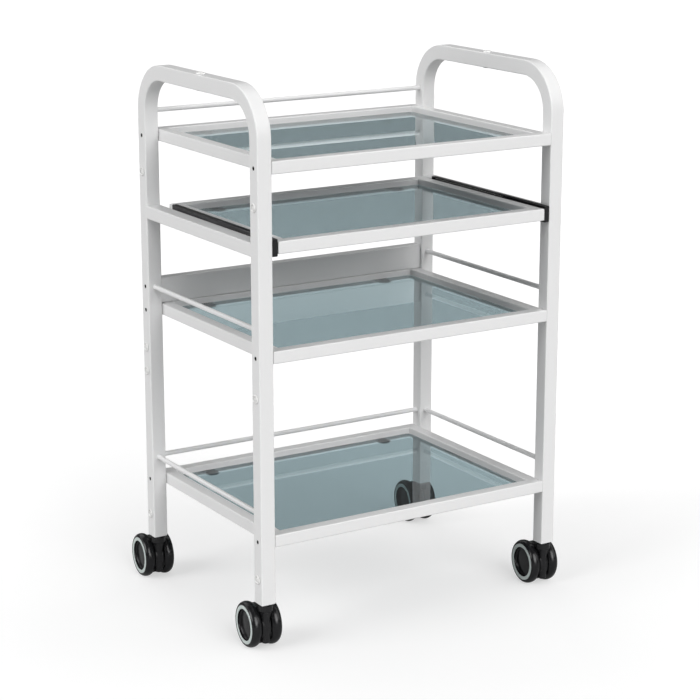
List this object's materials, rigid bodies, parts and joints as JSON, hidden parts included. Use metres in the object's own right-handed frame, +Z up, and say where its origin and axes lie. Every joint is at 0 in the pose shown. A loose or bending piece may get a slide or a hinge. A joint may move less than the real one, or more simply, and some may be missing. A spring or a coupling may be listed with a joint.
{
  "type": "rolling salon trolley",
  "caption": "Rolling salon trolley of white square tube with recessed tinted glass shelves, a pull-out glass tray on ball-bearing slides, bent handles and twin-wheel swivel casters.",
  "frame": {"origin": "bottom centre of the bounding box, on the floor between the four casters", "axes": "+X to the trolley's right, +Y to its back, +Z up; the tray pulls out towards -Y"},
  "size_m": [0.6026, 0.4528, 0.8977],
  "materials": {
    "white_coat": "white powder coat, satin",
    "white_plastic": "smooth white plastic plugs",
    "tinted_glass": "clear toughened glass with a blue-grey tint",
    "black_steel": "black electrophoretic coat, satin",
    "bright_steel": "zinc-plated steel",
    "black_plastic": "moulded black nylon",
    "wheel_black": "black wheel with a grey ring on its outer face"
  },
  "bodies": {
    "frame": {"back_left_caster_stem": "bright_steel", "back_left_leg_insert": "black_plastic", "back_right_caster_stem": "bright_steel", "back_right_leg_insert": "black_plastic", "bottom_back_guard_rod": "white_coat", "bottom_left_guard_rod": "white_coat", "bottom_right_guard_rod": "white_coat", "bottom_shelf_glass": "tinted_glass", "bottom_shelf_ring": "white_coat", "front_left_caster_stem": "bright_steel", "front_left_leg_insert": "black_plastic", "front_right_caster_stem": "bright_steel", "front_right_leg_insert": "black_plastic", "left_handle_plug_top": "white_plastic", "left_handle_plug_under": "white_plastic", "left_side_frame": "white_coat", "left_slide_outer": "black_steel", "left_slide_rail": "white_coat", "middle_back_panel": "white_coat", "middle_left_guard_rod": "white_coat", "middle_right_guard_rod": "white_coat", "middle_shelf_glass": "tinted_glass", "middle_shelf_ring": "white_coat", "right_handle_plug_top": "white_plastic", "right_handle_plug_under": "white_plastic", "right_side_frame": "white_coat", "right_slide_outer": "black_steel", "right_slide_rail": "white_coat", "top_back_guard_rod": "white_coat", "top_shelf_glass": "tinted_glass", "top_shelf_ring": "white_coat"},
    "back_left_caster": {"back_left_caster_axle": "bright_steel", "back_left_caster_housing": "black_plastic"},
    "back_left_wheel_left": {"back_left_wheel_left": "wheel_black"},
    "back_left_wheel_right": {"back_left_wheel_right": "wheel_black"},
    "back_right_caster": {"back_right_caster_axle": "bright_steel", "back_right_caster_housing": "black_plastic"},
    "back_right_wheel_left": {"back_right_wheel_left": "wheel_black"},
    "back_right_wheel_right": {"back_right_wheel_right": "wheel_black"},
    "front_left_caster": {"front_left_caster_axle": "bright_steel", "front_left_caster_housing": "black_plastic"},
    "front_left_wheel_left": {"front_left_wheel_left": "wheel_black"},
    "front_left_wheel_right": {"front_left_wheel_right": "wheel_black"},
    "front_right_caster": {"front_right_caster_axle": "bright_steel", "front_right_caster_housing": "black_plastic"},
    "front_right_wheel_left": {"front_right_wheel_left": "wheel_black"},
    "front_right_wheel_right": {"front_right_wheel_right": "wheel_black"},
    "left_ball_cage": {"left_slide_cage": "bright_steel"},
    "tray": {"left_slide_inner": "black_steel", "right_slide_inner": "black_steel", "tray_glass": "tinted_glass", "tray_ring": "white_coat"},
    "right_ball_cage": {"right_slide_cage": "bright_steel"}
  },
  "joints": [
    {"name": "tray_slide", "type": "slide", "parent": "frame", "child": "tray", "axis": [0, -1, 0], "range_m": [0, 0.24]},
    {"name": "left_ball_cage_slide", "type": "slide", "parent": "frame", "child": "left_ball_cage", "axis": [0, -1, 0], "range_m": [0, 0.12]},
    {"name": "right_ball_cage_slide", "type": "slide", "parent": "frame", "child": "right_ball_cage", "axis": [0, -1, 0], "range_m": [0, 0.12]},
    {"name": "front_left_swivel", "type": "hinge", "parent": "frame", "child": "front_left_caster", "pos_m": [-0.27477, -0.2134, 0.08], "axis": [0, 0, 1], "continuous": true},
    {"name": "front_left_wheel_left_spin", "type": "hinge", "parent": "front_left_caster", "child": "front_left_wheel_left", "pos_m": [-0.2725, -0.1875, 0.0375], "axis": [0.9962, -0.0872, 0], "continuous": true},
    {"name": "front_left_wheel_right_spin", "type": "hinge", "parent": "front_left_caster", "child": "front_left_wheel_right", "pos_m": [-0.2725, -0.1875, 0.0375], "axis": [0.9962, -0.0872, 0], "continuous": true},
    {"name": "front_right_swivel", "type": "hinge", "parent": "frame", "child": "front_right_caster", "pos_m": [0.27023, -0.2134, 0.08], "axis": [0, 0, 1], "continuous": true},
    {"name": "front_right_wheel_left_spin", "type": "hinge", "parent": "front_right_caster", "child": "front_right_wheel_left", "pos_m": [0.2725, -0.1875, 0.0375], "axis": [0.9962, -0.0872, 0], "continuous": true},
    {"name": "front_right_wheel_right_spin", "type": "hinge", "parent": "front_right_caster", "child": "front_right_wheel_right", "pos_m": [0.2725, -0.1875, 0.0375], "axis": [0.9962, -0.0872, 0], "continuous": true},
    {"name": "back_left_swivel", "type": "hinge", "parent": "frame", "child": "back_left_caster", "pos_m": [-0.27477, 0.1616, 0.08], "axis": [0, 0, 1], "continuous": true},
    {"name": "back_left_wheel_left_spin", "type": "hinge", "parent": "back_left_caster", "child": "back_left_wheel_left", "pos_m": [-0.2725, 0.1875, 0.0375], "axis": [0.9962, -0.0872, 0], "continuous": true},
    {"name": "back_left_wheel_right_spin", "type": "hinge", "parent": "back_left_caster", "child": "back_left_wheel_right", "pos_m": [-0.2725, 0.1875, 0.0375], "axis": [0.9962, -0.0872, 0], "continuous": true},
    {"name": "back_right_swivel", "type": "hinge", "parent": "frame", "child": "back_right_caster", "pos_m": [0.27023, 0.1616, 0.08], "axis": [0, 0, 1], "continuous": true},
    {"name": "back_right_wheel_left_spin", "type": "hinge", "parent": "back_right_caster", "child": "back_right_wheel_left", "pos_m": [0.2725, 0.1875, 0.0375], "axis": [0.9962, -0.0872, 0], "continuous": true},
    {"name": "back_right_wheel_right_spin", "type": "hinge", "parent": "back_right_caster", "child": "back_right_wheel_right", "pos_m": [0.2725, 0.1875, 0.0375], "axis": [0.9962, -0.0872, 0], "continuous": true}
  ],
  "couplings": [
    {"joint": "left_ball_cage_slide", "follows": "tray_slide", "ratio": 0.5},
    {"joint": "right_ball_cage_slide", "follows": "tray_slide", "ratio": 0.5}
  ]
}
